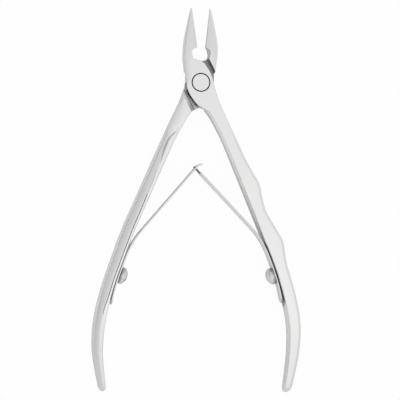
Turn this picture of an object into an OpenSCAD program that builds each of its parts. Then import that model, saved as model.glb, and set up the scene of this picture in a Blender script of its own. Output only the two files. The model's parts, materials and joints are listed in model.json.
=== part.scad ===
// Cuticle nipper, lying on its back with the jaws open.
// Two forged levers cross in a half lap and turn on a flush rivet. Two leaf springs, each screwed
// to the inside of a handle, hook into each other halfway and push the handles apart.
// Millimetres. The rivet stands on Z at the origin, Y points to the tips, the back lies on Z = 0.
// A lever is drawn closed: its cutting edge on X = 0, its jaw at -X and its handle at +X.
// The front lever is turned open as drawn. The rear lever is drawn alike and turned over.

/* [Levers] */
// Thickness through the joint and the handles
thickness = 6.4; // [5:0.1:9]
// Angle between the two cutting edges at rest
open_angle = 13.4; // [8:0.2:18]
// Rivet to the tips of the jaws
jaw_reach = 23.8; // [20:0.2:32]
// Length of the cutting edges
blade_length = 12.7; // [9:0.1:14]
// Greatest width of one jaw
jaw_width = 4.25; // [4:0.05:6]
// Width of a jaw at its tip
tip_width = 0.3; // [0.2:0.05:0.6]
// Thickness of a jaw at its tip
tip_thickness = 0.9; // [0.6:0.1:2]
// Height of the ground flat along the cutting edge
edge_flat = 0.12; // [0.06:0.02:0.3]
// Share of a jaw's thickness in front of its cutting edge
edge_front_share = 0.13; // [0.1:0.01:0.5]
// Radius of the round relief behind the blades
relief_radius = 1.9; // [1.4:0.05:2.2]
// Half the width of a lever across the rivet
boss_radius = 4.25; // [3.9:0.05:5.2]
// Rivet to the end of the fingered handle, along a closed lever
handle_reach = 98.8; // [80:0.2:120]
// Rivet to the end of the thumb handle, along a closed lever
thumb_reach = 99.4; // [80:0.2:120]
// Greatest distance of a closed handle's inner edge from the middle
handle_spread = 20.2; // [16:0.2:26]
// Width of the plain handle at mid length
handle_width = 3.8; // [3.2:0.1:5]
// Thickness of a handle at its end
handle_end_thickness = 4.6; // [3:0.1:6]
// Length over which a handle end is rounded off
handle_end_round = 1.5; // [0.8:0.1:2.5]
// Broken edge along the joint and the inner side of the handles
edge_round = 0.4; // [0.2:0.05:0.6]
// Width of the rounding on the outer side between jaw and rivet
boss_round_width = 2; // [0.4:0.1:2.4]
// Depth of the rounding on the outer side between jaw and rivet
boss_round_depth = 0.5; // [0.3:0.1:2.6]

/* [Finger rests on the front lever] */
// Added width of the fingered handle
finger_side_extra = 0.3; // [0:0.05:0.8]
// Rivet to the crest of the upper rest
upper_rest_at = 33.2; // [28:0.2:38]
// Height of the upper rest
upper_rest_height = 1.4; // [0.5:0.1:2]
// Rivet to the crest of the lower rest
lower_rest_at = 51.6; // [46:0.2:56]
// Height of the lower rest
lower_rest_height = 1.6; // [0.5:0.1:2.2]
// Length of the slope on the jaw side of a crest
rest_rise = 9; // [6:0.2:10]
// Length of the slope on the end side of a crest
rest_fall = 7.5; // [5:0.2:9]
// Width of the rounding on the outer side of the fingered handle
finger_round_width = 1; // [0.6:0.1:2.4]
// Depth of the rounding on the outer side of the fingered handle
finger_round_depth = 1; // [0.6:0.1:2.6]

/* [Thumb side of the rear lever] */
// How much flatter the thumb handle is bowed than the fingered one
thumb_flat = 0.6; // [0:0.05:1.5]
// Rivet to the upper end of the flatter stretch
thumb_flat_from = 46; // [40:1:50]
// Rivet to the lower end of the flatter stretch
thumb_flat_to = 90; // [74:1:94]
// Width of the flat land left along the inner edge
land_width = 0.75; // [0.6:0.05:1.2]
// Width of the land at its upper end
land_width_top = 3.2; // [1:0.1:3.4]
// Length over which the land narrows
land_taper = 28; // [15:1:40]
// Step from the land down to the ground side
land_step = 0.35; // [0.1:0.05:0.5]
// Step at the upper end, where the grinding wheel went in
land_step_top = 0.7; // [0.1:0.05:0.8]
// Step below that end, where the wheel ran shallow
land_step_mid = 0.1; // [0.05:0.05:0.3]
// Length of the deeper start of the ground side
deep_start = 13; // [10:0.5:16]
// Width of the slope of the step
land_ramp = 0.18; // [0.06:0.02:0.3]
// Width of that slope at the upper end
land_ramp_top = 0.7; // [0.1:0.05:1.2]
// Lean of the ground side towards the outer edge
ground_lean = 14; // [6:1:20]
// Width of the rounding beside the ground side
ground_round_width = 1.3; // [0.8:0.1:1.6]
// Depth of the rounding beside the ground side
ground_round_depth = 2; // [1:0.1:2.2]
// Width of the rounding on the outer side of the neck
neck_round_width = 2.6; // [0.6:0.1:2.6]
// Depth of the rounding on the outer side of the neck
neck_round_depth = 0.7; // [0.5:0.1:2]
// Rivet to the upper end of the ground side
ground_from = 14.4; // [13:0.2:20]
// Rivet to the lower end of the land
land_to = 78; // [65:0.5:84]

/* [Half lap] */
// Room beside the other lever at the shoulder on the jaw
jaw_shoulder_room = 0.15; // [0.1:0.05:0.6]
// Room beside the other lever at the shoulder on the handle
handle_shoulder_room = 0.4; // [0.25:0.05:0.8]
// Lean of the channel from the lever's cutting edge
lap_lean = 35; // [30:0.5:40]
// How far the shoulder on the jaw leans out at the lever's face
jaw_shoulder_draft = 0.25; // [0.1:0.05:1.6]
// Width of the bevel on the shoulder on the handle
shoulder_bevel_width = 1.15; // [0.4:0.05:1.6]
// Depth of the bevel on the shoulder on the handle
shoulder_bevel_depth = 0.65; // [0.3:0.05:1]
// Gap between the two lapped faces
lap_clearance = 0.06; // [0.02:0.01:0.15]

/* [Rivet] */
// Diameter of the shank
rivet_shank = 3.6; // [2.8:0.1:4.4]
// Diameter of the flush head
rivet_head = 5.5; // [4.8:0.1:6]
// Thickness of the head
rivet_head_height = 1.6; // [1:0.1:2.2]
// Diameter of the peened tail at the back
rivet_tail = 4.6; // [4.4:0.1:5.4]
// Height of the peened tail
rivet_tail_height = 0.8; // [0.5:0.1:1.2]
// Radial gap of the shank in the turning lever
running_clearance = 0.03; // [0.01:0.01:0.08]
// Radial gap round the head in the turning lever
head_clearance = 0.09; // [0.05:0.01:0.1]
// Broken edge on each side of the ring round the head
ring_chamfer = 0.15; // [0.05:0.05:0.25]
// Gap of a fixed piece in its seat
seat_clearance = 0.02; // [0.01:0.01:0.04]

/* [Leaf springs] */
// Thickness of a leaf
leaf_thickness = 0.5; // [0.4:0.02:0.8]
// Width of a leaf
leaf_width = 3.8; // [3.6:0.1:5]
// Gap between a leaf and the handle it lies on
leaf_seat_gap = 0.2; // [0.03:0.01:0.3]
// Rivet to the lower end of the left leaf
left_leaf_end = 72.4; // [68:0.2:76]
// Rivet to the lower end of the right leaf
right_leaf_end = 70.8; // [68:0.2:76]
// Lift of the lower end of a leaf off the handle
leaf_end_lift = 0.35; // [0.05:0.05:0.6]
// Rivet to the bend where the left leaf leaves the handle
left_leaf_bend = 52.4; // [46:0.2:54]
// Rivet to the bend where the right leaf leaves the handle
right_leaf_bend = 50.2; // [46:0.2:54]
// Length of the bend on each side of its middle
leaf_bend_length = 5; // [3:0.5:6]
// Rivet to the place where the two leaves cross
leaf_cross_at = 26.7; // [22:0.1:32]
// Place of the crossing beside the middle
leaf_cross_aside = -0.9; // [-1.2:0.1:1.2]
// Width of the tongue on the right leaf
tongue_width = 1.5; // [1:0.1:1.8]
// Length of the tongue before the crossing
tongue_before = 2.1; // [1.6:0.1:4]
// Length of the tongue past the crossing
tongue_past = 0.7; // [0.6:0.1:1.6]
// Room on each side of the tongue in the slot
slot_side_room = 0.25; // [0.15:0.05:0.5]
// Room above and below the tongue in the slot
slot_end_room = 0.6; // [0.4:0.05:1]
// Straight length of the left leaf past the slot
hook_straight = 0.1; // [0.1:0.1:1]
// Radius of the hooked end of the left leaf
hook_radius = 1; // [0.8:0.1:2]
// Turn of the hooked end of the left leaf
hook_turn = 35; // [10:5:60]
// Straight length at the end of the hook
hook_end = 0.9; // [0.3:0.1:1.5]

/* [Spring screws] */
// Rivet to the left screw
left_screw_at = 62.8; // [60:0.2:66]
// Rivet to the right screw
right_screw_at = 62; // [60:0.2:66]
// Diameter of the screw shank
screw_shank = 2.2; // [1.6:0.1:2.6]
// Length of the shank in the handle
screw_depth = 2.6; // [1.8:0.1:2.8]
// Diameter of the head
screw_head = 5.2; // [3.6:0.1:5.4]
// Height of the domed head
screw_head_height = 2.5; // [1.6:0.1:2.8]
// Height of the straight rim below the dome
screw_rim = 1.2; // [0.2:0.1:1.6]
// Width of the driver slot
screw_slot = 0.7; // [0.5:0.1:1]
// Depth of the driver slot
screw_slot_depth = 0.9; // [0.5:0.1:1.2]
// Turn of the left and right driver slots
screw_turns = [35, 80]; // [0:5:180]
// Radial room of the screw in the leaf
leaf_hole_clearance = 0.15; // [0.1:0.05:0.4]

/* [Hidden] */
$fn = 64;
steel = [0.86, 0.86, 0.87];
spring_steel = [0.8, 0.8, 0.82];
middle = thickness / 2;
half_open = open_angle / 2;
heel = jaw_reach - blade_length;
relief_at = heel - relief_radius;
lap_half_width = 1.26 * boss_radius;
slot_width = tongue_width + 2 * slot_side_room;
slot_half = leaf_thickness / 2 + slot_end_room;
leaf_end_radius = 0.52 * leaf_width;
corner_steps = 6;
beyond = 1;

// Shape of a jaw's outer edge: share of the reach, share of the way from tip width to jaw width
jaw_curve = [[1, 0], [0.92, 0.19], [0.76, 0.5], [0.59, 0.81], [0.46, 0.97], [0.35, 0.99], [0.19, 0.97]];
// Shape of a jaw's thickness: share of the reach, share of the way from tip to full thickness
jaw_depth = [[1, 0], [0.92, 0.22], [0.76, 0.52], [0.59, 0.77], [0.46, 0.91], [0.33, 1], [0.2, 1]];
// Both edges of a lever across the joint, in boss radii
boss_near = [[0.24, -1.06], [-0.2, -1.09], [-0.67, -0.99], [-1.21, -0.72], [-1.74, -0.32], [-2.05, 0.24],
    [-2.5, 0.54]];
boss_far = [[1.65, 0.1], [1.46, 0.4], [1.22, 0.53], [0.82, 0.75], [0.35, 0.9], [0, 0.95], [-0.35, 0.99],
    [-0.94, 1.11], [-1.65, 1.28], [-2.3, 1.5]];
// A handle: share of the reach, share of the spread, share of the handle width
handle_curve = [[0.15, 0.206, 1.03], [0.2, 0.295, 1], [0.3, 0.442, 0.98], [0.4, 0.587, 0.99],
    [0.5, 0.73, 1], [0.6, 0.868, 0.98], [0.7, 0.965, 0.95], [0.79, 1, 0.92], [0.87, 0.962, 0.82],
    [0.93, 0.9, 0.71], [1, 0.815, 0.55]];

near_edge = concat(
    [for (p = jaw_curve) [p[0] * jaw_reach, -tip_width - p[1] * (jaw_width - tip_width)]],
    boss_near * boss_radius,
    [for (p = handle_curve) [-p[0] * handle_reach, p[1] * handle_spread]]
);
far_edge = concat(
    [[jaw_reach, 0], [heel, 0], [relief_at, 0]],
    [for (p = boss_far * boss_radius) if (p[0] < relief_at - relief_radius / 2) p],
    [for (p = handle_curve) [-p[0] * handle_reach, p[1] * handle_spread + p[2] * handle_width]]
);
depth_curve = concat(
    [for (p = jaw_depth) [p[0] * jaw_reach, tip_thickness + p[1] * (thickness - tip_thickness)]],
    [[0, thickness], [-0.5 * handle_reach, thickness], [-0.82 * handle_reach, thickness]],
    [[-0.93 * handle_reach, mix(thickness, handle_end_thickness, 0.4)], [-handle_reach, handle_end_thickness]]
);

// Smooth curves through [along, value] points that run from the tips to the handle ends
function mix(a, b, t) = a + (b - a) * t;
function ease(t) = let (c = min(1, max(0, t))) c * c * (3 - 2 * c);
function slope(c, i) =
    let (p = c[max(0, i - 1)], n = c[min(len(c) - 1, i + 1)])
    (n[1] - p[1]) / (n[0] - p[0]);
function span_of(c, at, i = 0) = i >= len(c) - 2 || at >= c[i + 1][0] ? i : span_of(c, at, i + 1);
function curve(c, at) =
    let (
        i = span_of(c, at),
        h = c[i + 1][0] - c[i][0],
        u = (at - c[i][0]) / h,
        v = 1 - u
    )
    v * v * (1 + 2 * u) * c[i][1] + u * u * (3 - 2 * u) * c[i + 1][1]
        + h * u * v * (v * slope(c, i) - u * slope(c, i + 1));

// Finger rest: a rounded crest with a long slope to the jaws and a shorter one to the end
function crest(u) = pow(max(0, 1.08 - sqrt(u * u + 0.0064)), 1.25);
function rest(y, at, height) =
    let (d = -y - at)
    height * crest(d < 0 ? d / rest_rise : d / rest_fall);

// Edges and thickness of a lever at the height y
function reach(fingered) = fingered ? handle_reach : thumb_reach;
function drawn(y, fingered) = y > 0 ? y : y * handle_reach / reach(fingered);
function flatter(y) =
    let (run = (thumb_flat_to - thumb_flat_from) / 3)
    thumb_flat * ease((-y - thumb_flat_from) / run) * ease((y + thumb_flat_to) / run);
function near(y, fingered) = curve(near_edge, drawn(y, fingered)) - (fingered ? 0 : flatter(y));
function far(y, fingered) =
    curve(far_edge, drawn(y, fingered)) + (!fingered ? -flatter(y) :
        finger_side_extra * ease((-y - ground_from) / 8)
            + rest(y, upper_rest_at, upper_rest_height)
            + rest(y, lower_rest_at, lower_rest_height));
function depth(y, fingered) = min(thickness, curve(depth_curve, drawn(y, fingered)));
function end_share(y, fingered) =
    let (u = min(1, (y + reach(fingered)) / handle_end_round))
    max(0.3, sqrt(1 - (1 - u) * (1 - u)));

// One quarter of a section: a corner cut rx across and rz deep, straight at power 1, round at 2
function corner(x, z, rx, rz, power, from, to) = [
    for (k = [0:corner_steps])
    let (a = mix(from, to, k / corner_steps))
    [x + rx * sign(cos(a)) * pow(abs(cos(a)), 2 / power), z + rz * sign(sin(a)) * pow(abs(sin(a)), 2 / power)]
];

// Land and step on the thumb side at the height y
function land_at(y) =
    mix(land_width_top, land_width, pow(min(1, max(0, (-y - ground_from) / land_taper)), 0.3));
function step_at(y) =
    let (
        down = -y - ground_from - deep_start,
        start = mix(land_step_top, land_step_mid, ease(down * 2 / deep_start + 1))
    )
    mix(start, land_step, ease((down - 2) / 8));
function ramp_at(y) = mix(land_ramp_top, land_ramp, ease((-y - ground_from - deep_start / 2) / deep_start));

// Closed outline of a lever at the height y, as points in X and Z
function section(y, fingered) =
    let (
        a = near(y, fingered),
        b = far(y, fingered),
        w = b - a,
        t = depth(y, fingered),
        jaw = ease((y - heel + relief_radius * 1.8) / (relief_radius * 1.8)),
        boss = ease((y + 0.5) / 3),
        neck = fingered ? 0 : ease((-y - boss_radius) / (boss_radius * 1.5)),
        grip = ease((-y - ground_from) / 5),
        land = fingered ? 0 : grip * (1 - ease((-y - land_to + 8) / 8)),
        grip_width = fingered ? min(finger_round_width, 0.6 * w) : mix(0.6 * w, ground_round_width, land),
        grip_depth = min(fingered ? finger_round_depth : ground_round_depth, 0.4 * t),
        rx = mix(mix(mix(edge_round, neck_round_width, neck), 0.48 * w, jaw), grip_width, grip),
        rz = mix(mix(edge_round, neck_round_depth, neck), grip_depth, grip),
        front = mix(rz, edge_front_share * t - edge_flat / 2, jaw),
        back = mix(rz, (1 - edge_front_share) * t - edge_flat / 2, jaw),
        high = fingered ? front : back,
        low = fingered ? back : front,
        thin = 0.03 * w,
        ramp = mix(thin, ramp_at(y), land),
        lean = land * tan(ground_lean),
        brim = atan2(rz, lean * rx),
        brim_x = b - rx + rx * cos(brim),
        ground_x = mix(b - rx - thin, min(b - rx - thin, a + land_at(y) + ramp), land),
        land_x = ground_x - ramp,
        ground_z = t / 2 - land * step_at(y),
        brim_z = ground_z - lean * (brim_x - ground_x),
        ax = mix(mix(edge_round, boss_round_width, boss), 0.44 * w, jaw),
        az = mix(edge_round, boss_round_depth, boss),
        front_side = mix(az, 0.16 * t, jaw),
        back_side = mix(az, 0.46 * t, jaw),
        a_high = fingered ? front_side : back_side,
        a_low = fingered ? back_side : front_side,
        power_high = 2 - (fingered ? 0.4 : 0.8) * jaw,
        power_low = 2 - (fingered ? 0.8 : 0.4) * jaw,
        s = end_share(y, fingered),
        mid = (a + b) / 2,
        ring = concat(
            [[land_x, -t / 2], [ground_x, -ground_z]],
            corner(b - rx, low * sin(brim) - brim_z, rx, low, power_low, -brim, 0),
            corner(b - rx, brim_z - high * sin(brim), rx, high, power_high, 0, brim),
            [[ground_x, ground_z], [land_x, t / 2]],
            corner(a + ax, t / 2 - a_high, ax, a_high, 2, 90, 180),
            corner(a + ax, a_low - t / 2, ax, a_low, 2, 180, 270)
        )
    )
    [for (p = ring) [mid + (p[0] - mid) * s, y, middle + p[1] * s]];

// Heights at which a lever's section is drawn
function steps(from, to, count) = [for (i = [0:count - 1]) mix(from, to, i / count)];
function stations(fingered) = concat(
    steps(jaw_reach, heel, 9),
    steps(heel, -ground_from, 24),
    steps(-ground_from, -ground_from - 8, 8),
    steps(-ground_from - 8, -lower_rest_at, fingered ? 20 : 6),
    steps(-lower_rest_at, handle_end_round - reach(fingered), 26),
    [for (a = [0:18:90]) handle_end_round * (1 - sin(a)) - reach(fingered)]
);

// Solid through a list of rings, each closed by a fan round its own centre
function centre(ring) = [
    for (k = [0:2]) (max([for (p = ring) p[k]]) + min([for (p = ring) p[k]])) / 2
];
module loft(rings) {
    n = len(rings[0]);
    last = len(rings) - 1;
    tip = n * len(rings);
    polyhedron(
        points = concat([for (r = rings) each r], [centre(rings[0]), centre(rings[last])]),
        faces = [
            for (i = [0:n - 1]) [tip, i, (i + 1) % n],
            for (j = [0:last - 1], i = [0:n - 1]) [j * n + i, (j + 1) * n + i, j * n + (i + 1) % n],
            for (j = [0:last - 1], i = [0:n - 1])
                [j * n + (i + 1) % n, (j + 1) * n + i, (j + 1) * n + (i + 1) % n],
            for (i = [0:n - 1]) [tip + 1, last * n + (i + 1) % n, last * n + i]
        ],
        convexity = 8
    );
}

// Round relief behind the blade, run out past the top edge of the boss
module relief() {
    translate([0, 0, -beyond])
        linear_extrude(thickness + 2 * beyond)
            union() {
                translate([0, relief_at]) circle(relief_radius);
                polygon([
                    [boss_radius * 0.1, boss_radius * 1.62],
                    [-relief_radius * 0.93, relief_at - relief_radius * 0.7],
                    [-relief_radius * 0.8, relief_at],
                    [boss_radius, relief_at]
                ]);
            }
}

// Channel for the other lever, with leaning shoulders
module lap_channel() {
    floor_z = middle + lap_clearance / 2;
    jaw_side = -lap_half_width - jaw_shoulder_room;
    handle_side = lap_half_width + handle_shoulder_room;
    rotate([0, 0, -lap_lean])
        rotate([90, 0, 0])
            linear_extrude(12 * boss_radius, center = true)
                polygon([
                    [jaw_side, floor_z],
                    [handle_side, floor_z],
                    [handle_side, shoulder_bevel_depth],
                    [handle_side + shoulder_bevel_width * (1 + beyond / shoulder_bevel_depth), -beyond],
                    [jaw_side - jaw_shoulder_draft * (1 + beyond / floor_z), -beyond]
                ]);
}

// A lever in the closed position, before it is bored for the rivet
module forging(fingered) {
    difference() {
        loft([for (y = stations(fingered)) section(y, fingered)]);
        relief();
        lap_channel();
        at_screw(fingered) translate([0, 0, -screw_depth - seat_clearance])
            cylinder(h = screw_depth + beyond, r = screw_shank / 2 + seat_clearance);
    }
}

// Places of the two levers and of what is fixed to them
module place_front() {
    rotate([0, 0, half_open]) children();
}
module place_rear() {
    rotate([0, 0, -half_open]) translate([0, 0, thickness]) rotate([0, 180, 0]) children();
}

module front_lever() {
    head_floor = thickness - rivet_head_height - running_clearance;
    color(steel)
        place_front()
            difference() {
                forging(true);
                translate([0, 0, -beyond])
                    cylinder(h = thickness + 2 * beyond, r = rivet_shank / 2 + running_clearance);
                translate([0, 0, head_floor])
                    cylinder(h = rivet_head_height + beyond, r = rivet_head / 2 + head_clearance);
                translate([0, 0, thickness - ring_chamfer])
                    cylinder(
                        h = ring_chamfer * 2,
                        r1 = rivet_head / 2 + head_clearance,
                        r2 = rivet_head / 2 + head_clearance + ring_chamfer * 2
                    );
            }
}

module rear_lever() {
    color(steel)
        place_rear()
            difference() {
                forging(false);
                cylinder(h = thickness + beyond, r = rivet_shank / 2 + seat_clearance);
                translate([0, 0, thickness - rivet_tail_height])
                    cylinder(
                        h = rivet_tail_height,
                        r1 = rivet_shank / 2 + seat_clearance,
                        r2 = rivet_tail / 2 + seat_clearance
                    );
            }
}

module pivot_rivet() {
    shank = rivet_shank / 2;
    head = rivet_head / 2;
    color(spring_steel)
        rotate_extrude()
            polygon([
                [0, 0],
                [rivet_tail / 2, 0],
                [shank, rivet_tail_height],
                [shank, thickness - rivet_head_height],
                [head, thickness - rivet_head_height],
                [head, thickness - ring_chamfer],
                [head - ring_chamfer, thickness],
                [0, thickness]
            ]);
}

// Direction of a handle's inner edge at the height y, and the normal out of it
function edge_slope(y, fingered) = (near(y + 0.05, fingered) - near(y - 0.05, fingered)) / 0.1;
function edge_normal(y, fingered) = let (d = edge_slope(y, fingered)) [-1, d] / sqrt(1 + d * d);
function unit(v) = v / norm(v);

// Middle line of a leaf: along the handle, round the bend and straight on to the crossing
function screw_at(fingered) = fingered ? right_screw_at : left_screw_at;
function leaf_end(fingered) = fingered ? right_leaf_end : left_leaf_end;
function leaf_bend(fingered) = fingered ? right_leaf_bend : left_leaf_bend;
function leaf_lift(y, fingered) =
    let (d = max(0, (-y - screw_at(fingered)) / (leaf_end(fingered) - screw_at(fingered))))
    leaf_seat_gap + leaf_end_lift * d * d;
function leaf_point(y, fingered) =
    [near(y, fingered), y] + edge_normal(y, fingered) * (leaf_lift(y, fingered) + leaf_thickness / 2);
function leaf_cross(fingered) =
    let (aside = fingered ? leaf_cross_aside : -leaf_cross_aside)
    [
        aside * cos(half_open) - leaf_cross_at * sin(half_open),
        -aside * sin(half_open) - leaf_cross_at * cos(half_open)
    ];
function leaf_way(fingered) = unit(leaf_cross(fingered) - leaf_point(-leaf_bend(fingered), fingered));
function leaf_line(fingered) =
    let (
        low_y = -leaf_bend(fingered) - leaf_bend_length,
        low = leaf_point(low_y, fingered),
        bend = leaf_point(-leaf_bend(fingered), fingered),
        high = bend + leaf_way(fingered) * leaf_bend_length
    )
    concat(
        [for (y = steps(-leaf_end(fingered), low_y, 10)) leaf_point(y, fingered)],
        [for (u = steps(0, 1, 8)) low * (1 - u) * (1 - u) + bend * 2 * u * (1 - u) + high * u * u],
        [high]
    );

// Hooked end of the left leaf
hook_way = leaf_way(false);
hook_side = [-hook_way[1], hook_way[0]];
hook_from = leaf_cross(false) + hook_way * (slot_half + hook_straight);
hook_bow = [
    for (a = [0:hook_turn / 8:hook_turn])
    hook_from + hook_radius * (hook_way * sin(a) + hook_side * (1 - cos(a)))
];
hook_tip = hook_bow[len(hook_bow) - 1] + hook_end * (hook_way * cos(hook_turn) + hook_side * sin(hook_turn));
hook_line = concat(hook_bow, [hook_tip]);

function line_way(l, i) = unit(l[min(len(l) - 1, i + 1)] - l[max(0, i - 1)]);
function beside(l, d) = [for (i = [0:len(l) - 1]) let (w = line_way(l, i)) l[i] + d * [-w[1], w[0]]];
function reversed(l) = [for (i = [len(l) - 1:-1:0]) l[i]];

module leaf_strip(line) {
    translate([0, 0, middle])
        linear_extrude(leaf_width, center = true)
            polygon(concat(beside(line, leaf_thickness / 2), reversed(beside(line, -leaf_thickness / 2))));
}

// Rounds the end of a leaf; the leaf runs on from here along its own X
module round_off(at, angle) {
    translate([at[0], at[1], middle])
        rotate([0, 0, angle])
            rotate([90, 0, 0])
                linear_extrude(6 * leaf_thickness, center = true)
                    difference() {
                        translate([-leaf_width, -leaf_width]) square([1.5 * leaf_width, 2 * leaf_width]);
                        translate([leaf_end_radius, 0]) circle(leaf_end_radius);
                    }
}

// Frame on the inner side of a handle at the screw, its Z out of the handle
module at_screw(fingered) {
    y = -screw_at(fingered);
    d = edge_normal(y, fingered);
    translate([near(y, fingered), y, middle])
        rotate([0, 0, atan2(d[1], d[0])])
            rotate([0, 90, 0])
                children();
}

module leaf(line, fingered) {
    low_way = line_way(line, 0);
    difference() {
        leaf_strip(line);
        round_off(line[0], atan2(low_way[1], low_way[0]));
        at_screw(fingered) translate([0, 0, -beyond])
            cylinder(h = leaf_thickness + 2 * beyond, r = screw_shank / 2 + leaf_hole_clearance);
    }
}

// Frame at the crossing, its X along a leaf and its Z through the width
module at_crossing(fingered) {
    at = leaf_cross(fingered);
    way = leaf_way(fingered);
    translate([at[0], at[1], middle]) rotate([0, 0, atan2(way[1], way[0])]) children();
}

module right_leaf_spring() {
    side = (leaf_width - tongue_width) / 2 + beyond;
    color(spring_steel)
        place_front()
            difference() {
                leaf(concat(leaf_line(true), [leaf_cross(true) + leaf_way(true) * tongue_past]), true);
                at_crossing(true)
                    for (s = [-1, 1])
                        translate([tongue_past / 2, 0, s * (tongue_width + side) / 2])
                            cube([tongue_past + 2 * tongue_before, 6 * leaf_thickness, side], center = true);
            }
}

module left_leaf_spring() {
    color(spring_steel)
        place_rear()
            difference() {
                leaf(concat(leaf_line(false), hook_line), false);
                at_crossing(false) cube([2 * slot_half, 6 * leaf_thickness, slot_width], center = true);
            }
}

// Slotted screw with a domed head, standing on the leaf
module spring_screw(fingered) {
    y = -screw_at(fingered);
    out = edge_normal(y, fingered);
    hollow = max([for (s = [-1, 1])
        (leaf_point(y + s * screw_head / 2, fingered) - leaf_point(y, fingered)) * out]);
    seat = leaf_seat_gap + leaf_thickness + hollow + seat_clearance;
    dome = screw_head_height - screw_rim;
    ball = (screw_head * screw_head / 4 + dome * dome) / (2 * dome);
    color(steel)
        at_screw(fingered)
            difference() {
                union() {
                    translate([0, 0, -screw_depth]) cylinder(h = screw_depth + seat + screw_rim, r = screw_shank / 2);
                    translate([0, 0, seat])
                        intersection() {
                            cylinder(h = screw_head_height + beyond, r = screw_head / 2);
                            translate([0, 0, screw_head_height - ball]) sphere(ball);
                        }
                }
                translate([0, 0, seat + screw_head_height - screw_slot_depth])
                    rotate([0, 0, screw_turns[fingered ? 1 : 0]])
                        translate([-screw_head, -screw_slot / 2, 0])
                            cube([2 * screw_head, screw_slot, screw_head_height]);
            }
}

module left_spring_screw() {
    place_rear() spring_screw(false);
}

module right_spring_screw() {
    place_front() spring_screw(true);
}

front_lever();
rear_lever();
pivot_rivet();
left_leaf_spring();
right_leaf_spring();
left_spring_screw();
right_spring_screw();
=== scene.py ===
# Cuticle nipper lying open on a white table, in satin stainless steel.
# Metres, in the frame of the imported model: the rivet stands on Z, the tips point to +Y.
import json
import math

import bpy
from mathutils import Matrix, Vector

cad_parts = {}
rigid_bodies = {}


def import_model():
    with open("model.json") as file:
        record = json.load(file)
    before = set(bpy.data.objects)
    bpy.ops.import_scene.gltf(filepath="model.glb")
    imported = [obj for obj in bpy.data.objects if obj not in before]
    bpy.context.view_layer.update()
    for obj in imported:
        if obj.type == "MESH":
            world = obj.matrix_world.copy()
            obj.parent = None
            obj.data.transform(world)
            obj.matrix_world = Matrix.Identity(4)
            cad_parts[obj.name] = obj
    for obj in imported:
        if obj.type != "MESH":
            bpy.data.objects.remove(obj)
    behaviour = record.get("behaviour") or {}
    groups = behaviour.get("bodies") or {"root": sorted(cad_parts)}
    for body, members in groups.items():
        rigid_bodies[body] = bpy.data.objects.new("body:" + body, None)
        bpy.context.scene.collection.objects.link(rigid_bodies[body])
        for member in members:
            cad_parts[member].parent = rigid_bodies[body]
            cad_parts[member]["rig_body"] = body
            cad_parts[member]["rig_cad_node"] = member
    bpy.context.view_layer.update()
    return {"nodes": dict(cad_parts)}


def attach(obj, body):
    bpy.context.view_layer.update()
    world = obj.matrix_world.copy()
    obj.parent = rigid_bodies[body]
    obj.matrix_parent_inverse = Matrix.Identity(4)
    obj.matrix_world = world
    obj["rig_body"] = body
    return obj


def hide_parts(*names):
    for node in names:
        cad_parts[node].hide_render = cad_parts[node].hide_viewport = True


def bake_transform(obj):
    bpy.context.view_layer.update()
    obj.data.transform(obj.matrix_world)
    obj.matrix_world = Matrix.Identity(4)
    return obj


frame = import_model()


# Front lever: one stainless forging with the left jaw, half of the lap joint and the right handle.
# It is drop forged, ground along its length and tumbled to a satin polish. The lap faces stay as
# the milling cutter left them. Painted shade darkens the lap floor, the walls that turn in the laps,
# the rivet's seat and the handle's inner wall, most where the leaf lies against it.
merge_distance = 2e-6
mark_depth = 4e-6
streak_range = (0.3, 0.7)
graded_roughness = 0.38


def choose_only(piece):
    """Makes one object the only selected and the active one."""
    bpy.ops.object.select_all(action="DESELECT")
    piece.select_set(True)
    bpy.context.view_layer.objects.active = piece


def joined_copy(node, name):
    """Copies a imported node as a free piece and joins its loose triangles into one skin."""
    choose_only(frame["nodes"][node])
    bpy.ops.object.duplicate()
    piece = bpy.context.view_layer.objects.active
    piece.name = name
    piece.data.name = name
    bpy.ops.object.parent_clear(type="CLEAR_KEEP_TRANSFORM")
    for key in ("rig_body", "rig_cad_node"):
        del piece[key]
    bpy.ops.mesh.customdata_custom_splitnormals_clear()
    bpy.ops.object.mode_set(mode="EDIT")
    bpy.ops.mesh.select_all(action="SELECT")
    bpy.ops.mesh.remove_doubles(threshold=merge_distance)
    bpy.ops.object.mode_set(mode="OBJECT")
    piece.data.materials.clear()
    return piece


def smooth_skin(piece, sharp_angle):
    """Smooths the skin up to an angle and weighs its normals by face size."""
    choose_only(piece)
    bpy.ops.object.shade_smooth_by_angle(angle=math.radians(sharp_angle))
    weigh = piece.modifiers.new("weigh", "WEIGHTED_NORMAL")
    weigh.keep_sharp = True
    bpy.ops.object.modifier_apply(modifier=weigh.name)


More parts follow.
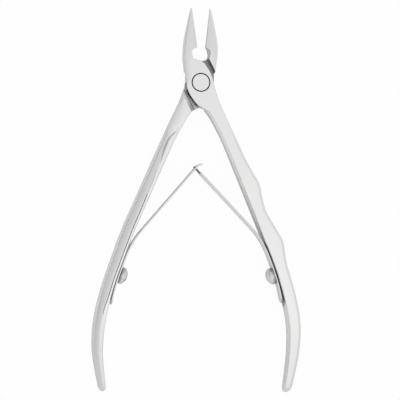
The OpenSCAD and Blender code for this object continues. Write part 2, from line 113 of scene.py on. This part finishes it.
def ground_finish_group():
    """Grinding marks: fine streaks along Y over slow clouds of polish."""
    group = bpy.data.node_groups.new("ground_finish", "ShaderNodeTree")
    face = group.interface
    face.new_socket("Place", in_out="INPUT", socket_type="NodeSocketVector")
    for name in ("Streak Length", "Streak Width", "Cloud Size"):
        face.new_socket(name, in_out="INPUT", socket_type="NodeSocketFloat")
    for name in ("Streaks", "Clouds"):
        face.new_socket(name, in_out="OUTPUT", socket_type="NodeSocketFloat")
    nodes, links = group.nodes, group.links
    given = nodes.new("NodeGroupInput")
    result = nodes.new("NodeGroupOutput")
    cell = nodes.new("ShaderNodeCombineXYZ")
    for axis, name in (("X", "Streak Width"), ("Y", "Streak Length"), ("Z", "Streak Width")):
        links.new(given.outputs[name], cell.inputs[axis])
    stretched = nodes.new("ShaderNodeVectorMath")
    stretched.operation = "DIVIDE"
    links.new(given.outputs["Place"], stretched.inputs[0])
    links.new(cell.outputs["Vector"], stretched.inputs[1])
    streaks = nodes.new("ShaderNodeTexNoise")
    streaks.inputs["Scale"].default_value = 1.0
    streaks.inputs["Detail"].default_value = 2.0
    links.new(stretched.outputs["Vector"], streaks.inputs["Vector"])
    links.new(streaks.outputs["Fac"], result.inputs["Streaks"])
    size = nodes.new("ShaderNodeMath")
    size.operation = "DIVIDE"
    size.inputs[0].default_value = 1.0
    links.new(given.outputs["Cloud Size"], size.inputs[1])
    clouds = nodes.new("ShaderNodeTexNoise")
    clouds.inputs["Detail"].default_value = 1.0
    links.new(given.outputs["Place"], clouds.inputs["Vector"])
    links.new(size.outputs["Value"], clouds.inputs["Scale"])
    links.new(clouds.outputs["Fac"], result.inputs["Clouds"])
    return group


ground_finish = ground_finish_group()


def steel(name, colours, roughness, lean, streak, cloud_size, bump):
    """Stainless steel: colours and roughness are pairs that the marks vary between, lean turns the
    grinding direction from Y in degrees, streak is the length and width of one mark."""
    material = bpy.data.materials.new(name)
    material.use_nodes = True
    nodes, links = material.node_tree.nodes, material.node_tree.links
    shader = nodes["Principled BSDF"]
    shader.inputs["Metallic"].default_value = 1.0
    place = nodes.new("ShaderNodeTexCoord")
    turned = nodes.new("ShaderNodeMapping")
    turned.inputs["Rotation"].default_value = (0.0, 0.0, math.radians(lean))
    links.new(place.outputs["Object"], turned.inputs["Vector"])
    finish = nodes.new("ShaderNodeGroup")
    finish.node_tree = ground_finish
    finish.inputs["Streak Length"].default_value = streak[0]
    finish.inputs["Streak Width"].default_value = streak[1]
    finish.inputs["Cloud Size"].default_value = cloud_size
    links.new(turned.outputs["Vector"], finish.inputs["Place"])
    tint = nodes.new("ShaderNodeMix")
    tint.data_type = "RGBA"
    tint.inputs["A"].default_value = (*colours[0], 1.0)
    tint.inputs["B"].default_value = (*colours[1], 1.0)
    links.new(finish.outputs["Clouds"], tint.inputs["Factor"])
    links.new(tint.outputs["Result"], shader.inputs["Base Color"])
    gloss = nodes.new("ShaderNodeMapRange")
    gloss.inputs["From Min"].default_value = streak_range[0]
    gloss.inputs["From Max"].default_value = streak_range[1]
    gloss.inputs["To Min"].default_value = roughness[0]
    gloss.inputs["To Max"].default_value = roughness[1]
    links.new(finish.outputs["Streaks"], gloss.inputs["Value"])
    links.new(gloss.outputs["Result"], shader.inputs["Roughness"])
    relief = nodes.new("ShaderNodeBump")
    relief.inputs["Strength"].default_value = bump
    relief.inputs["Distance"].default_value = mark_depth
    links.new(finish.outputs["Streaks"], relief.inputs["Height"])
    links.new(relief.outputs["Normal"], shader.inputs["Normal"])
    return material


def share_along(material, value, stretch):
    """Turns a value into its share of a stretch, from 0 to 1."""
    nodes, links = material.node_tree.nodes, material.node_tree.links
    share = nodes.new("ShaderNodeMapRange")
    share.inputs["From Min"].default_value = stretch[0]
    share.inputs["From Max"].default_value = stretch[1]
    links.new(value, share.inputs["Value"])
    return share.outputs["Result"]


def distance_along(material, way):
    """Gives the distance of each point from the origin, measured along one direction."""
    nodes, links = material.node_tree.nodes, material.node_tree.links
    place = nodes.new("ShaderNodeTexCoord")
    along = nodes.new("ShaderNodeVectorMath")
    along.operation = "DOT_PRODUCT"
    along.inputs[1].default_value = way
    links.new(place.outputs["Object"], along.inputs[0])
    return along.outputs["Value"]


def grey_ramp(material, value, span, stops):
    """Turns a value into a grey: span is the stretch of the value that the stops share, and each stop
    is a share of that span and a grey."""
    nodes, links = material.node_tree.nodes, material.node_tree.links
    greys = nodes.new("ShaderNodeValToRGB")
    for inner_stop in stops[1:-1]:
        greys.color_ramp.elements.new(inner_stop[0])
    for stop, (at, grey) in zip(greys.color_ramp.elements, stops):
        stop.position = at
        stop.color = (grey, grey, grey, 1.0)
    links.new(share_along(material, value, span), greys.inputs["Fac"])
    return greys.outputs["Color"]


def darken_colour(material, strength, greys):
    """Multiplies a material's colour by greys, at a strength that changes over the surface."""
    nodes, links = material.node_tree.nodes, material.node_tree.links
    colour = nodes["Principled BSDF"].inputs["Base Color"]
    darkened = nodes.new("ShaderNodeMix")
    darkened.data_type = "RGBA"
    darkened.blend_type = "MULTIPLY"
    links.new(strength, darkened.inputs["Factor"])
    links.new(colour.links[0].from_socket, darkened.inputs["A"])
    links.new(greys, darkened.inputs["B"])
    links.new(darkened.outputs["Result"], colour)


def darken_along(material, way, stretch, grey):
    """Darkens a material over a stretch along one direction, way, down to a share of its colour."""
    share = share_along(material, distance_along(material, way), stretch)
    full_grey = material.node_tree.nodes.new("ShaderNodeRGB")
    full_grey.outputs["Color"].default_value = (grey, grey, grey, 1.0)
    darken_colour(material, share, full_grey.outputs["Color"])


def graded_steel(name, way, span, stops):
    """Steel whose grey changes along one direction, way."""
    material = bpy.data.materials.new(name)
    material.use_nodes = True
    shader = material.node_tree.nodes["Principled BSDF"]
    shader.inputs["Metallic"].default_value = 1.0
    shader.inputs["Roughness"].default_value = graded_roughness
    greys = grey_ramp(material, distance_along(material, way), span, stops)
    material.node_tree.links.new(greys, shader.inputs["Base Color"])
    return material


def milled_shaded_steel(name, way):
    """Steel of a milled lap, with painted shade: its greys along way, and darker towards the lower
    end of the lap. way points from the rivet to the lower shoulder."""
    material = graded_steel(name, way, lap_span, lap_shade_greys)
    lower_way = math.copysign(1.0, way.x) * Vector((way.y, -way.x, 0.0))
    darken_along(material, lower_way, lap_end_shade_stretch, lap_end_shade_grey)
    return material


def milled_and_shaded_faces(piece, turned, way):
    """Gives the milled steel with its painted shade to the lap's flat floor and the bevel of its
    lower shoulder, and the near-black painted shade to the wall that turns in the other lever's lap
    and to the wall of the rivet's seat. turned is 1 or -1, and way points from the rivet to the lower
    shoulder."""
    for face in piece.data.polygons:
        middle, normal = face.center, face.normal
        reach = math.hypot(middle.x, middle.y)
        height = turned * (middle.z - lap_height)
        in_lap = reach < lap_reach
        on_floor = in_lap and abs(normal.z) > floor_tilt and abs(height) < lap_gap
        on_shoulder = in_lap and middle.dot(way) > shoulder_start and normal.dot(way) < 0
        on_bevel = on_shoulder and height < 0 and bevel_tilt[0] < abs(normal.z) < bevel_tilt[1]
        bearing = math.degrees(math.atan2(middle.y, turned * middle.x)) % 180
        on_wall = in_lap and height > 0 and abs(normal.z) < wall_tilt and bearing < wall_bearing
        on_seat = reach < seat_reach and abs(normal.z) < flat_tilt
        if on_seat or on_wall:
            face.material_index = painted_shade_index
        elif on_floor or on_bevel:
            face.material_index = milled_shade_index


def wall_faces(piece, side, tilt, stretch, index):
    """Gives a material to a stretch of the handle's inner wall. side is the wall's way in X, and tilt
    is how far its normals may turn to Z."""
    for face in piece.data.polygons:
        on_inner_wall = side * face.normal.x > inner_turn and abs(face.normal.z) < tilt
        if on_inner_wall and stretch[0] < face.center.y < stretch[1]:
            face.material_index = index


milled_shade_index, painted_shade_index, seat_shade_index, wall_shade_index = 1, 2, 3, 4
lap_height = 0.0032
lap_gap = 0.0001
lap_reach = 0.0135
shoulder_start = 0.005
bevel_tilt = (0.84, 0.9)
floor_tilt = 0.9
flat_tilt = 0.99
wall_tilt = 0.6
wall_bearing = 88
inner_turn = 0.45
seat_reach = 0.0031
seat_stretch = (-0.069, -0.0505)
wall_stretch = (-0.069, -0.008)
lever_colours = ((0.78, 0.78, 0.776), (0.8, 0.8, 0.796))
lever_roughness = (0.38, 0.4)
lever_marks = {"streak": (0.012, 0.0004), "cloud_size": 0.006, "bump": 0.003}
grain_lean = 19
lever_sharp_angle = 24
front_lap_way = Vector((0.88, -0.474, 0.0))
# Painted shade in the laps: greys across the floor, dark past the rivet and near black in a thin line
# by the lower shoulder, and darker towards the lower end of the lap.
lap_span = (-0.007, 0.007)
lap_shade_greys = (
    (0.0, 0.28), (0.4, 0.28), (0.7, 1.0), (0.862, 1.0), (0.87, 0.02), (0.91, 0.02), (0.912, 0.68))
lap_end_shade_stretch = (0.003, 0.0055)
lap_end_shade_grey = 0.6
# Painted shade on the front handle's inner wall, darker towards the table.
wall_span = (0.0, 0.0064)
wall_shade_greys = ((0.0, 0.68), (0.4, 0.68), (0.65, 0.95), (1.0, 0.98))
handle_end_stretch = (-0.074, -0.088)
handle_end_grey = 0.915
# Painted shade on the handles' inner wall where the leaf lies against it.
seat_shade_colours = ((0.3, 0.3, 0.297), (0.36, 0.36, 0.357))
# Near-black painted shade for the walls that turn in the laps, the rivets' seats, the rivet's side
# and the slope of the step beside the land.
painted_shade_colours = ((0.09, 0.09, 0.087), (0.13, 0.13, 0.127))
painted_shade_roughness = (0.3, 0.42)
painted_shade_marks = {"streak": (0.004, 0.0002), "cloud_size": 0.003, "bump": 0.05}
painted_shade_lean = 62
seat_roughness = (0.36, 0.42)
seat_marks = {"streak": (0.012, 0.0004), "cloud_size": 0.006, "bump": 0.01}
up_way = Vector((0.0, 0.0, 1.0))
tip_way = Vector((0.0, 1.0, 0.0))

front_steel = steel("front_lever_steel", lever_colours, lever_roughness, grain_lean, **lever_marks)
darken_along(front_steel, tip_way, handle_end_stretch, handle_end_grey)
# Painted shade: the lap's greys, a near-black steel, and the darker steels of the leaf's seat and the
# inner wall.
front_milled_shaded_steel = milled_shaded_steel("front_milled_shaded_steel", front_lap_way)
painted_shade_steel = steel("painted_shade_steel", painted_shade_colours, painted_shade_roughness, painted_shade_lean, **painted_shade_marks)
seat_shade_steel = steel("seat_shade_steel", seat_shade_colours, seat_roughness, grain_lean, **seat_marks)
wall_shade_steel = graded_steel("wall_shade_steel", up_way, wall_span, wall_shade_greys)

front = joined_copy("front_lever", "front_lever_satin")
for material in (front_steel, front_milled_shaded_steel, painted_shade_steel, seat_shade_steel, wall_shade_steel):
    front.data.materials.append(material)
milled_and_shaded_faces(front, 1, front_lap_way)
wall_faces(front, -1, wall_tilt, wall_stretch, wall_shade_index)
wall_faces(front, -1, wall_tilt, seat_stretch, seat_shade_index)
smooth_skin(front, lever_sharp_angle)
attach(front, "front_lever")
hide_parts("front_lever")


# Rear lever: the second stainless forging, with the right jaw and the left handle.
# It is finished like the front one, but its thumb side is ground down beside a narrow land along
# the inner edge. Painted shade and a painted highlight run across that ground side, and painted
# shade lies in the lap, in the rivet's seat, on the step beside the land and on the leaf's seat.
# The rivet turns with it.
ring_digits = 5


def edge_distance(piece, lean):
    """Notes each point's distance from the outer edge of the handle, along the rings of the skin.
    lean turns the piece so that its rings lie across."""
    level = Matrix.Rotation(lean, 3, "Z")
    places = [level @ point.co for point in piece.data.vertices]
    rings = [round(place.y, ring_digits) for place in places]
    edges = {}
    for ring, place in zip(rings, places):
        edges[ring] = min(place.x, edges.get(ring, place.x))
    distances = piece.data.attributes.new("edge_distance", "FLOAT", "POINT")
    for ring, place, distance in zip(rings, places, distances.data):
        distance.value = place.x - edges[ring]


def ground_shade(material, span, stops, end_grey, sets_in, evens_out):
    """Paints light and shade across a steel by its distance from the handle's edge. It sets in over
    one stretch of Y, and evens out to one grey over another, at the handle's end."""
    nodes, links = material.node_tree.nodes, material.node_tree.links
    distance = nodes.new("ShaderNodeAttribute")
    distance.attribute_name = "edge_distance"
    height = distance_along(material, tip_way)
    evened = nodes.new("ShaderNodeMix")
    evened.data_type = "RGBA"
    evened.inputs["B"].default_value = (end_grey, end_grey, end_grey, 1.0)
    links.new(share_along(material, height, evens_out), evened.inputs["Factor"])
    links.new(grey_ramp(material, distance.outputs["Fac"], span, stops), evened.inputs["A"])
    darken_colour(material, share_along(material, height, sets_in), evened.outputs["Result"])


rear_lap_way = Vector((-0.88, -0.474, 0.0))
lever_lean = math.radians(6.7)
# Painted shade across the ground thumb side, with a painted highlight near the outer edge and the
# full colour on the land.
ground_span = (0.0, 0.003)
ground_shade_greys = (
    (0.0, 1.0), (0.08, 1.0), (0.18, 1.08), (0.28, 0.87), (0.42, 0.84), (0.6, 0.88), (0.8, 1.0))
ground_sets_in = (-0.012, -0.036)
ground_evens_out = (-0.07, -0.084)
ground_end_grey = 0.88
step_height = 0.0029
step_from = -0.034
step_tilt = 0.75
rear_wall_tilt = 0.9

# Painted shade in the lap, and painted light and shade across the ground side.
rear_milled_shaded_steel = milled_shaded_steel("rear_milled_shaded_steel", rear_lap_way)
rear_steel = steel("rear_lever_steel", lever_colours, lever_roughness, -grain_lean, **lever_marks)
ground_shade(rear_steel, ground_span, ground_shade_greys, ground_end_grey, ground_sets_in, ground_evens_out)

rear = joined_copy("rear_lever", "rear_lever_satin")
for material in (rear_steel, rear_milled_shaded_steel, painted_shade_steel, seat_shade_steel):
    rear.data.materials.append(material)
edge_distance(rear, lever_lean)
milled_and_shaded_faces(rear, -1, rear_lap_way)
# The slope of the step beside the land gets the near-black painted shade of its deep corner.
for face in rear.data.polygons:
    near_face = abs(face.center.z - lap_height) > step_height
    on_slope = face.normal.x < 0 and abs(face.normal.z) < step_tilt
    if near_face and on_slope and face.center.y < step_from:
        face.material_index = painted_shade_index
wall_faces(rear, 1, rear_wall_tilt, seat_stretch, seat_shade_index)
smooth_skin(rear, lever_sharp_angle)
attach(rear, "rear_lever")
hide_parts("rear_lever")


# Pivot rivet: a turned stainless pin with a flush round head, peened over at the back.
# Its head is ground together with the front lever, so both faces shine alike.
rivet_roughness = (0.37, 0.39)
turned_sharp_angle = 32
rivet_steel = steel("rivet_steel", lever_colours, rivet_roughness, grain_lean, **lever_marks)

rivet = joined_copy("pivot_rivet", "pivot_rivet_ground")
rivet.data.materials.append(rivet_steel)
rivet.data.materials.append(painted_shade_steel)
# The rivet's round side, inside the levers, gets the near-black painted shade.
for face in rivet.data.polygons:
    face.material_index = int(abs(face.normal.z) < flat_tilt)
smooth_skin(rivet, turned_sharp_angle)
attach(rivet, "rear_lever")
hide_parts("pivot_rivet")


# Leaf springs: two strips of hardened spring steel, each screwed to the inside of a handle.
# They are blanked from polished strip and bent. Their faces carry painted light towards the
# handle and painted shade towards the jaws.
# The tongue of the right one passes through the slot of the left one, so the tips move together.
# Lit and shaded copies of one steel, picked by face direction: painted light on the faces towards the
# handle, painted shade on those towards the jaws, a painted mid tone on the edges, and the darkest
# painted shade on the right leaf's tongue, which lies further back.
lit_side_colours = ((0.76, 0.76, 0.76), (0.82, 0.82, 0.82))
shaded_side_colours = ((0.22, 0.22, 0.22), (0.28, 0.28, 0.28))
edge_shade_colours = ((0.55, 0.55, 0.55), (0.61, 0.61, 0.61))
tongue_shade_colours = ((0.14, 0.14, 0.14), (0.18, 0.18, 0.18))
tongue_start = -0.0282
leaf_roughness = (0.16, 0.26)
leaf_marks = {"streak": (0.02, 0.0004), "cloud_size": 0.005, "bump": 0.01}
leaf_edge_tilt = 0.5
leaf_sharp_angle = 32
leaf_edge_round = 0.0002
round_steps = 3
round_from = math.radians(50)
flat_within = math.radians(1)
edge_shade_index, tongue_shade_index = 2, 3
leaf_tip = Vector((-0.0009, -0.0267, 0.0032))
leaf_cuts = 20


def round_edges(piece, width):
    """Joins flat faces and rounds the sharp edges of a piece."""
    choose_only(piece)
    bpy.ops.object.mode_set(mode="EDIT")
    bpy.ops.mesh.select_all(action="SELECT")
    bpy.ops.mesh.dissolve_limited(angle_limit=flat_within)
    bpy.ops.object.mode_set(mode="OBJECT")
    rounding = piece.modifiers.new("rounding", "BEVEL")
    rounding.width = width
    rounding.segments = round_steps
    rounding.limit_method = "ANGLE"
    rounding.angle_limit = round_from
    bpy.ops.object.modifier_apply(modifier=rounding.name)


def cut_across(piece, start, end, count):
    """Cuts a strip across at even steps between two points."""
    choose_only(piece)
    bpy.ops.object.mode_set(mode="EDIT")
    for step in range(count + 1):
        bpy.ops.mesh.select_all(action="SELECT")
        bpy.ops.mesh.bisect(plane_co=start.lerp(end, step / count), plane_no=end - start)
    bpy.ops.object.mode_set(mode="OBJECT")


right_foot = Vector((0.0209, -0.0495, 0.0032))
left_foot = Vector((-0.0208, -0.0505, 0.0032))
for name, rides_on, other, foot, lean in (
    ("right_leaf_spring", "front_lever", "rear_lever", right_foot, 43),
    ("left_leaf_spring", "rear_lever", "front_lever", left_foot, -41),
):
    leaf = joined_copy(name, name + "_strip")
    round_edges(leaf, leaf_edge_round)
    cut_across(leaf, foot, leaf_tip, leaf_cuts)
    for side, colours in (
        ("_lit_side", lit_side_colours),
        ("_shaded_side", shaded_side_colours),
        ("_edge", edge_shade_colours),
        ("_tongue_shade", tongue_shade_colours),
    ):
        leaf.data.materials.append(steel(name + side, colours, leaf_roughness, lean, **leaf_marks))
    # Each face gets its painted light or shade by its direction.
    tongued = name == "right_leaf_spring"
    for face in leaf.data.polygons:
        if tongued and tongue_start < face.center.y < leaf_tip.y:
            face.material_index = tongue_shade_index
        elif abs(face.normal.z) > leaf_edge_tilt:
            face.material_index = edge_shade_index
        else:
            face.material_index = int(face.normal.y > 0)
    smooth_skin(leaf, leaf_sharp_angle)
    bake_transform(leaf)
    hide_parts(name)


# Spring screws: two slotted steel screws with domed heads that hold the leaves to the handles.
# They are turned on a lathe, and the rim of each head carries painted shade where it meets
# the leaf.
screw_colours = ((0.66, 0.66, 0.656), (0.74, 0.74, 0.736))
screw_roughness = (0.36, 0.44)
screw_marks = {"streak": (0.0006, 0.0004), "cloud_size": 0.002, "bump": 0.003}
# Painted shade on the head's rim, where it meets the leaf.
rim_shade_grey = 0.42
rim_shade_fade = (0.0009, 0.0003)

for name, body, way, head_start in (
    ("left_spring_screw", "rear_lever", Vector((0.946, -0.325, 0.0)), -0.0032),
    ("right_spring_screw", "front_lever", Vector((-0.944, -0.329, 0.0)), -0.0035),
):
    screw = joined_copy(name, name + "_turned")
    screw_steel = steel(name + "_steel", screw_colours, screw_roughness, grain_lean, **screw_marks)
    darken_along(screw_steel, way, [head_start + fade for fade in rim_shade_fade], rim_shade_grey)
    screw.data.materials.append(screw_steel)
    smooth_skin(screw, turned_sharp_angle)
    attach(screw, body)
    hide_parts(name)


# Table: a plain white sheet of paper that the nipper lies on.
# It shows as plain white, and keeps a faint shadow of the nipper.
table_half = 1.5
table_white = 0.92
paper_roughness = 0.9
seen_white = 0.96
mirrored_white = 0.2

bpy.ops.object.select_all(action="DESELECT")
bpy.ops.mesh.primitive_plane_add(size=2 * table_half)
table = bpy.context.view_layer.objects.active
table.name = "table"
table_paper = bpy.data.materials.new("table_paper")
table_paper.use_nodes = True
table.data.materials.append(table_paper)
nodes, links = table_paper.node_tree.nodes, table_paper.node_tree.links
paper = nodes["Principled BSDF"]
paper.inputs["Base Color"].default_value = (table_white, table_white, table_white, 1.0)
paper.inputs["Roughness"].default_value = paper_roughness
paper.inputs["Specular IOR Level"].default_value = 0.0
glow = nodes.new("ShaderNodeEmission")
glow.inputs["Color"].default_value = (1.0, 1.0, 1.0, 1.0)
rays = nodes.new("ShaderNodeLightPath")
seen = nodes.new("ShaderNodeMath")
seen.operation = "MULTIPLY"
seen.inputs[1].default_value = seen_white
links.new(rays.outputs["Is Camera Ray"], seen.inputs[0])
mirrored = nodes.new("ShaderNodeMath")
mirrored.operation = "MAXIMUM"
links.new(rays.outputs["Is Glossy Ray"], mirrored.inputs[0])
links.new(rays.outputs["Is Transmission Ray"], mirrored.inputs[1])
white_share = nodes.new("ShaderNodeMath")
white_share.operation = "MULTIPLY_ADD"
white_share.inputs[1].default_value = mirrored_white
links.new(mirrored.outputs["Value"], white_share.inputs[0])
links.new(seen.outputs["Value"], white_share.inputs[2])
shown = nodes.new("ShaderNodeMixShader")
links.new(white_share.outputs["Value"], shown.inputs["Fac"])
links.new(paper.outputs["BSDF"], shown.inputs[1])
links.new(glow.outputs["Emission"], shown.inputs[2])
links.new(shown.outputs["Shader"], nodes["Material Output"].inputs["Surface"])


# Light: a grey tent that darkens to the horizon on the left, with one large soft lamp overhead.
# The lamp shows in the flat faces, the tent in the rounded ones.
tent_top = 0.84
tent_left = 0.1
tent_right = 1.0
tent_rim_height = 0.55
tent_dark_way = Vector((-0.6, 0.8, 0.0))
tent_dark_reach = (0.3, 0.86)
lamp_size = 0.3
lamp_power = 0.14
lamp_place = Vector((0.09, -0.13, 0.5))

scene = bpy.context.scene
tent = bpy.data.worlds.new("tent")
scene.world = tent
tent.use_nodes = True
nodes, links = tent.node_tree.nodes, tent.node_tree.links
way = nodes.new("ShaderNodeTexCoord")
parts = nodes.new("ShaderNodeSeparateXYZ")
links.new(way.outputs["Generated"], parts.inputs["Vector"])
side = nodes.new("ShaderNodeVectorMath")
side.operation = "DOT_PRODUCT"
side.inputs[1].default_value = tent_dark_way
links.new(way.outputs["Generated"], side.inputs[0])
rim = nodes.new("ShaderNodeMapRange")
rim.inputs["From Min"].default_value = tent_dark_reach[0]
rim.inputs["From Max"].default_value = tent_dark_reach[1]
rim.inputs["To Min"].default_value = tent_right
rim.inputs["To Max"].default_value = tent_left
links.new(side.outputs["Value"], rim.inputs["Value"])
rise = nodes.new("ShaderNodeMapRange")
rise.interpolation_type = "SMOOTHSTEP"
rise.inputs["From Min"].default_value = 0.0
rise.inputs["From Max"].default_value = tent_rim_height
links.new(parts.outputs["Z"], rise.inputs["Value"])
level = nodes.new("ShaderNodeMix")
level.inputs["B"].default_value = tent_top
links.new(rise.outputs["Result"], level.inputs["Factor"])
links.new(rim.outputs["Result"], level.inputs["A"])
rays = nodes.new("ShaderNodeLightPath")
backdrop = nodes.new("ShaderNodeMath")
backdrop.operation = "MAXIMUM"
links.new(rays.outputs["Is Camera Ray"], backdrop.inputs[0])
links.new(level.outputs["Result"], backdrop.inputs[1])
links.new(backdrop.outputs["Value"], nodes["Background"].inputs["Strength"])
nodes["Background"].inputs["Color"].default_value = (1.0, 1.0, 1.0, 1.0)

bpy.ops.object.select_all(action="DESELECT")
bpy.ops.object.light_add(type="AREA", location=lamp_place)
lamp = bpy.context.view_layer.objects.active
lamp.name = "soft_lamp"
lamp.data.size = lamp_size
lamp.data.energy = lamp_power
lamp.rotation_mode = "QUATERNION"
lamp.rotation_quaternion = (-lamp_place).to_track_quat("-Z", "Y")


# Camera: nearly straight above, a little to the left and towards the handles.
# It stands far off behind a long lens, so near and far parts show at one scale.
view_centre = Vector((0.0008, -0.0366, 0.0032))
frame_width = 0.125
camera_distance = 0.9
camera_yaw = math.radians(9.5)
camera_pitch = math.radians(3.5)
camera_roll = math.radians(0.9)

across = Vector((math.cos(camera_yaw), 0.0, math.sin(camera_yaw)))
back = across.cross(Vector((0.0, math.cos(camera_pitch), math.sin(camera_pitch)))).normalized()
up = back.cross(across)
bpy.ops.object.camera_add(location=view_centre + camera_distance * back)
camera = bpy.context.view_layer.objects.active
camera.rotation_mode = "QUATERNION"
facing = Matrix((across, up, back)).transposed().to_quaternion()
rolled = Matrix.Rotation(camera_roll, 3, "Z").to_quaternion()
camera.rotation_quaternion = facing @ rolled
camera.data.lens = camera.data.sensor_width * camera_distance / frame_width
scene.camera = camera
scene.view_settings.view_transform = "Standard"
